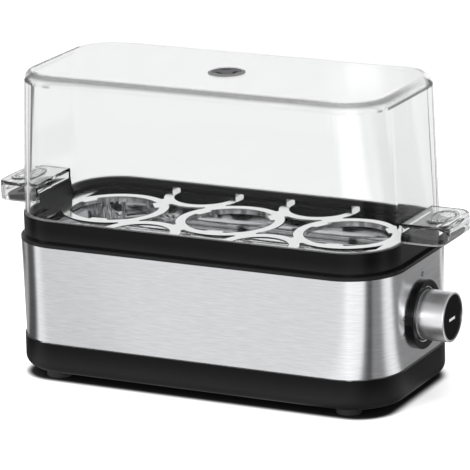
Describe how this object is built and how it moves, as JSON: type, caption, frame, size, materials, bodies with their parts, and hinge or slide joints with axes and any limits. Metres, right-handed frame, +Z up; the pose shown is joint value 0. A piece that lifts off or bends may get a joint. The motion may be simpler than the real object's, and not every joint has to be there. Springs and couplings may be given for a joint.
{
  "type": "electric egg cooker",
  "caption": "Electric egg cooker with a brushed steel body, black base and collar, clear lid with end handles, a ringed egg tray over a heating bowl, and a turned knob on one end.",
  "frame": {"origin": "on the table, under the middle of the body", "axes": "+X along the body towards the knob, +Y to the back, +Z up"},
  "size_m": [0.25, 0.099, 0.1575],
  "materials": {
    "black_plastic": "fine satin moulded texture",
    "foot_rubber": "matte",
    "brushed_sleeve": "brushed lengthwise",
    "plain_screws": "zinc plated",
    "shield_sheet": "plain mill finish",
    "silicone": "matte",
    "bowl_steel": "polished",
    "spreader_aluminium": "mill finish",
    "heater_sheath": "dull oxidised",
    "ceramic": "glazed",
    "tin": "tinned",
    "thermostat_shell": "moulded",
    "board_laminate": "green laminate",
    "relay_case": "moulded",
    "capacitor_case": "moulded",
    "terminal_case": "moulded",
    "buzzer_case": "moulded",
    "control_case": "plain",
    "nut_steel": "nickel plated",
    "bezel_plastic": "semi gloss",
    "shaft_aluminium": "turned",
    "knob_aluminium": "turned and brushed",
    "cap_plastic": "gloss",
    "pointer_white": "inlaid",
    "tray_steel": "bright stamped sheet",
    "handle_plastic": "satin",
    "rivet_steel": "plain",
    "clear_plastic": "clear, polished",
    "vent_grey": "matte"
  },
  "bodies": {
    "housing": {"base_pan": "black_plastic", "rubber_feet": "foot_rubber", "steel_sleeve": "brushed_sleeve", "top_frame": "black_plastic", "base_screws": "plain_screws", "heat_shield": "shield_sheet", "bowl_seal": "silicone", "heating_bowl": "bowl_steel", "heat_spreader": "spreader_aluminium", "heating_element": "heater_sheath", "heater_straps": "shield_sheet", "thermostat": "thermostat_shell", "thermal_fuse": "tin", "fuse_clip": "shield_sheet", "element_beads": "ceramic", "element_tabs": "tin", "control_board": "board_laminate", "board_screws": "plain_screws", "relay": "relay_case", "capacitor": "capacitor_case", "terminal_block": "terminal_case", "buzzer": "buzzer_case", "cord_gland": "black_plastic", "rotary_control": "control_case", "control_nut": "nut_steel", "dial_bezel": "bezel_plastic"},
    "knob": {"control_shaft": "shaft_aluminium", "knob_core": "black_plastic", "knob_skin": "knob_aluminium", "knob_cap": "cap_plastic", "knob_pointer": "pointer_white"},
    "tray": {"egg_tray": "tray_steel", "tray_handle_right": "handle_plastic", "tray_handle_left": "handle_plastic", "tray_rivets": "rivet_steel"},
    "lid": {"lid_shell": "clear_plastic", "vent_insert": "vent_grey"}
  },
  "joints": [
    {"name": "knob_turn", "type": "hinge", "parent": "housing", "child": "knob", "pos_m": [0.105, 0, 0.043], "axis": [-1, 0, 0], "range_deg": [0, 270]},
    {"name": "tray_lift", "type": "slide", "parent": "housing", "child": "tray", "axis": [0, 0, 1], "range_m": [0, 0.12]},
    {"name": "lid_lift", "type": "slide", "parent": "tray", "child": "lid", "axis": [0, 0, 1], "range_m": [0, 0.12]}
  ]
}
